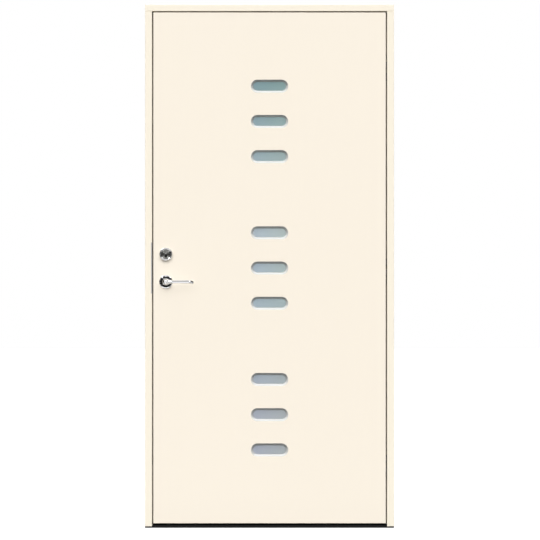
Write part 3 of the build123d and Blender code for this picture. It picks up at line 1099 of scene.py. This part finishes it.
toLeft = (0, 0, -rightAngle)
toRight = (0, 0, rightAngle)
upward = (-rightAngle, 0, 0)
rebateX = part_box("upper_hinge_cup")[0].x  # the jambs' faces beside the leaf
screwPlan = {
    "sunk": 0.2 * mm,
    "strikeEnd": 11.5 * mm, "forendEnd": 12.5 * mm, "cupEnd": 9 * mm, "armEnd": 14 * mm,  # from each end
    "armY": -13.5 * mm,
    "treadX": (-400 * mm, -133 * mm, 133 * mm, 400 * mm), "treadY": -4 * mm,
    "treadZ": 11.5 * mm,  # height of the sloping tread there
}


def atEnds(name, x, y, inset):  # near the lower and upper ends of a node
    low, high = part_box(name)
    return [(x, y, low.z + inset), (x, y, high.z - inset)]


def placeScrews():
    plan = screwPlan
    jambX = rebateX + plan["sunk"]
    leafX = skinHigh.x - plan["sunk"]
    cups = []
    arms = []
    for level in ("upper", "middle", "lower"):
        cup = level + "_hinge_cup"
        cups += atEnds(cup, jambX, middleOf(cup).y, plan["cupEnd"])
        arms += atEnds(level + "_hinge_arm", leafX, plan["armY"], plan["armEnd"])
    strike = atEnds("strike_plate", -jambX, lockY, plan["strikeEnd"])
    forend = atEnds("mortise_lock", -leafX, lockY, plan["forendEnd"])
    tread = [(x, plan["treadY"], plan["treadZ"] - plan["sunk"]) for x in plan["treadX"]]
    pattern = makeScrew()
    for name, body, turn, places in (
        ("strikeScrews", "frame", toRight, strike),
        ("forendScrews", "leaf", toLeft, forend),
        ("cupScrews", "frame", toLeft, cups),
        ("armScrews", "leaf", toRight, arms),
        ("treadScrews", "frame", upward, tread),
    ):
        finishPiece(joined(*setCopies(pattern, name, turn, places)), body, screwSteel, "steel")
    bpy.data.objects.remove(pattern, do_unlink=True)


placeScrews()


# Cover caps over the frame fixings in the rebate

capLook = {
    "radius": 6.8 * mm, "rise": 0.6 * mm, "plug": 6 * mm, "chamfer": 0.8 * mm, "round": 0.5 * mm,
    "domeSteps": (0.7, 0.6),  # share of the rise at the edge, and of the radius at the top
    "point": 0.3 * mm, "sides": 40, "sunk": 0.1 * mm,
    "heights": (120 * mm, 640 * mm, 1430 * mm, 1950 * mm),
}


def makeCaps():
    look = capLook
    radius = look["radius"]
    rise = look["rise"]
    edge, top = look["domeSteps"]
    pattern = turnPiece("cap", (0, 0, 0), -1, [
        (radius - look["chamfer"], -look["plug"]), (radius, -look["plug"] + look["chamfer"]), (radius, 0.0),
        (radius - look["round"], rise * edge), (radius * top, rise), (look["point"], rise),
    ], look["sides"], True)
    caps = []
    for side, turn in ((-1, toRight), (1, toLeft)):
        places = [(side * (rebateX + look["sunk"]), lockY, height) for height in look["heights"]]
        caps += setCopies(pattern, "fixingCaps", turn, places)
    bpy.data.objects.remove(pattern, do_unlink=True)
    finishPiece(joined(*caps), "frame", jambPaint, "cream_paint")


makeCaps()
print("screws and caps set")


# Finishes on the nodes that keep their CAD shape

nodeFinish = {
    "frame_head": headPaint, "lock_jamb": jambPaint, "hinge_jamb": jambPaint,
    "threshold_sill": blackAluminium, "threshold_stop": blackAluminium,
    "lock_stile": leafPaint, "hinge_stile": leafPaint, "top_rail": leafPaint, "bottom_rail": leafPaint,
    "insulation_core": coreFibre, "mortise_lock": brushedSteel, "latch_bolt": brushedSteel,
    "dead_bolt": brushedSteel, "strike_plate": brushedSteel, "spindle": brushedSteel,
    "hinge_pins": screwSteel,
}
endingFinish = {
    "_seal": sealRubber, "_panes": satinGlass, "_spacers": spacerBar,
    "_hinge_cup": brushedSteel, "_hinge_arm": brushedSteel,
}


def finishFor(name):
    for ending, material in endingFinish.items():
        if name.endswith(ending):
            return material
    return nodeFinish.get(name)


for name, node in nodes.items():
    material = finishFor(name)
    if material:
        for spot in node.material_slots:
            spot.material = material
print("nodes dressed")


# Stage: pale floor, soft light from both sides above, white surround, dark flags that only metal sees

stageLook = {
    "floorSize": 90, "floorDrop": 0.5 * mm, "floorGlow": 0.70, "floorGrain": (3.0, 3),
    "floorTints": ((0.40, 0.40, 0.40), (0.388, 0.388, 0.388)),
    "floorBounce": (0.04, 0.04, 0.04),
    "ambient": 0.05,
}


def bareFinish(owner):  # a material or a world whose nodes are all made here
    owner.use_nodes = True
    owner.node_tree.nodes.clear()
    return Finish(owner.node_tree)


def stagePlane(name, place, turn, size, material):
    deselectAll()
    bpy.ops.mesh.primitive_plane_add(size=1, location=place, rotation=turn)
    bpy.context.object.scale = (*size, 1)
    plane = begin(name)
    leaveEdit()
    plane.data.materials.append(material)
    return plane


def onlyInMetal(plane):
    plane.visible_camera = False
    plane.visible_diffuse = False
    plane.visible_shadow = False
    plane.visible_transmission = False


def seenDirectly(finish):  # 1 for the camera and in metal and glass, 0 for plain light
    rays = ("Is Camera Ray", "Is Glossy Ray", "Is Transmission Ray")
    camera, glossy, through = finish.node("ShaderNodeLightPath", out=rays)
    return camera.atLeast(glossy).atLeast(through)


def makeFloor():
    look = stageLook
    material = bpy.data.materials.new("paleFloor")
    finish = bareFinish(material)
    tint = finish.between(finish.noise(*look["floorGrain"]), *look["floorTints"])
    pale = finish.node("ShaderNodeBsdfDiffuse", {}, {"Color": tint})
    glow = finish.node("ShaderNodeEmission", {}, {"Color": tinted(white), "Strength": look["floorGlow"]})
    shown = finish.node("ShaderNodeAddShader", {}, {0: pale, 1: glow})
    bounce = finish.node("ShaderNodeBsdfDiffuse", {}, {"Color": tinted(look["floorBounce"])})
    mixed = finish.node("ShaderNodeMixShader", {}, {0: seenDirectly(finish), 1: bounce, 2: shown})
    finish.node("ShaderNodeOutputMaterial", {}, {"Surface": mixed})
    stagePlane("floor", (0, 0, -look["floorDrop"]), (0, 0, 0), (look["floorSize"],) * 2, material)


def makeSurround():
    world = bpy.data.worlds.new("surround")
    bpy.context.scene.world = world
    finish = bareFinish(world)
    seen = seenDirectly(finish)
    level = seen + (1 - seen) * stageLook["ambient"]
    light = finish.node("ShaderNodeBackground", {}, {"Color": tinted(white), "Strength": level})
    finish.node("ShaderNodeOutputWorld", {}, {"Surface": light})


lampPlan = {
    "keyLeft": {"strength": 2.455, "side": -22, "height": 42, "spread": 60},
    "keyRight": {"strength": 2.165, "side": 22, "height": 42, "spread": 60},
    "fillLeft": {"strength": 1.5, "side": -108, "height": 12, "spread": 40},
    "fillRight": {"strength": 1.5, "side": 108, "height": 12, "spread": 40},
    "fillBehind": {"strength": 2.5, "side": 168, "height": 20, "spread": 40},
}
lampReach = 4  # metres, a sun shines the same from anywhere


def makeLamps():
    for name, plan in lampPlan.items():
        deselectAll()
        side = math.radians(plan["side"])
        place = (lampReach * math.sin(side), -lampReach * math.cos(side), lampReach)
        bpy.ops.object.light_add(type="SUN", location=place)
        lamp = bpy.context.object
        lamp.name = name
        lamp.data.energy = plan["strength"]
        lamp.data.angle = math.radians(plan["spread"])
        lamp.rotation_euler = (math.radians(90 - plan["height"]), 0, side)
        lamp.visible_glossy = False  # metal shows the boxes and cards alone


boxPlan = {
    "boxLeft": {"place": (-5.2, -8, 6.2), "strength": 20.0},
    "boxRight": {"place": (4.2, -8, 6.2), "strength": 9.0},
}
boxSize = (2.4, 2.4)
boxTilt = math.radians(58)


def makeBoxes():  # soft boxes, turned to the door
    for name, plan in boxPlan.items():
        x, y, z = plan["place"]
        material = bpy.data.materials.new(name + "Glow")
        finish = bareFinish(material)
        glow = finish.node("ShaderNodeEmission", {}, {"Color": tinted(white), "Strength": plan["strength"]})
        finish.node("ShaderNodeOutputMaterial", {}, {"Surface": glow})
        onlyInMetal(stagePlane(name, (x, y, z), (boxTilt, 0, math.atan2(x, -y)), boxSize, material))


flat = (0, 0, 0)
onEdge = (0, rightAngle, 0)
upright = (rightAngle, 0, 0)
flagPlan = {  # place, turn, size and glow
    "flagLeft": ((-2.4, -1.35, 1.5), onEdge, (3.0, 3.3), 0.0),
    "flagRight": ((2.4, -1.85, 1.5), onEdge, (3.0, 4.3), 0.0),
    "flagOver": ((0, -0.15, 3.2), flat, (4.8, 1.1), 0.0),
    "flagUnder": ((0, -0.08, 0.0005), flat, (4.8, 0.7), 0.0),
    "flagFloor": ((0, -15, 0.0007), flat, (16, 22), 0.0),
    "flagFar": ((0, -26, 3.5), upright, (22, 9), 0.0),
    "cardRight": ((2.45, -1.85, 5.5), onEdge, (5.0, 4.3), 0.55),
    "cardUnder": ((1.2, -2.2, 0.0006), flat, (2.4, 2.4), 0.50),
}
clothLook = {"dark": (0.004, 0.004, 0.004), "light": (0.008, 0.008, 0.008), "weave": (90, 2)}


def makeFlags():
    for name, ((x, y, z), turn, size, glow) in flagPlan.items():
        finish = newFinish(name + "Cloth", Roughness=1.0, Specular_IOR_Level=0.0, Emission_Strength=glow)
        weave = finish.noise(*clothLook["weave"])
        cloth = dress(finish, Base_Color=finish.between(weave, clothLook["dark"], clothLook["light"]))
        for way in (1, -1):  # before the door and behind it
            onlyInMetal(stagePlane(name, (x, way * y, z), turn, size, cloth))


makeFloor()
makeSurround()
makeLamps()
makeBoxes()
makeFlags()
bpy.context.scene.view_settings.view_transform = "Standard"


cameraLook = {"place": (0.0018, -20.0525, 1.0249), "lens": 335.4, "sensor": 36, "reach": 200}
bpy.ops.object.camera_add(location=cameraLook["place"], rotation=upright)
camera = bpy.context.object
camera.data.lens = cameraLook["lens"]
camera.data.sensor_width = cameraLook["sensor"]
camera.data.clip_end = cameraLook["reach"]
bpy.context.scene.camera = camera
print("stage lit")
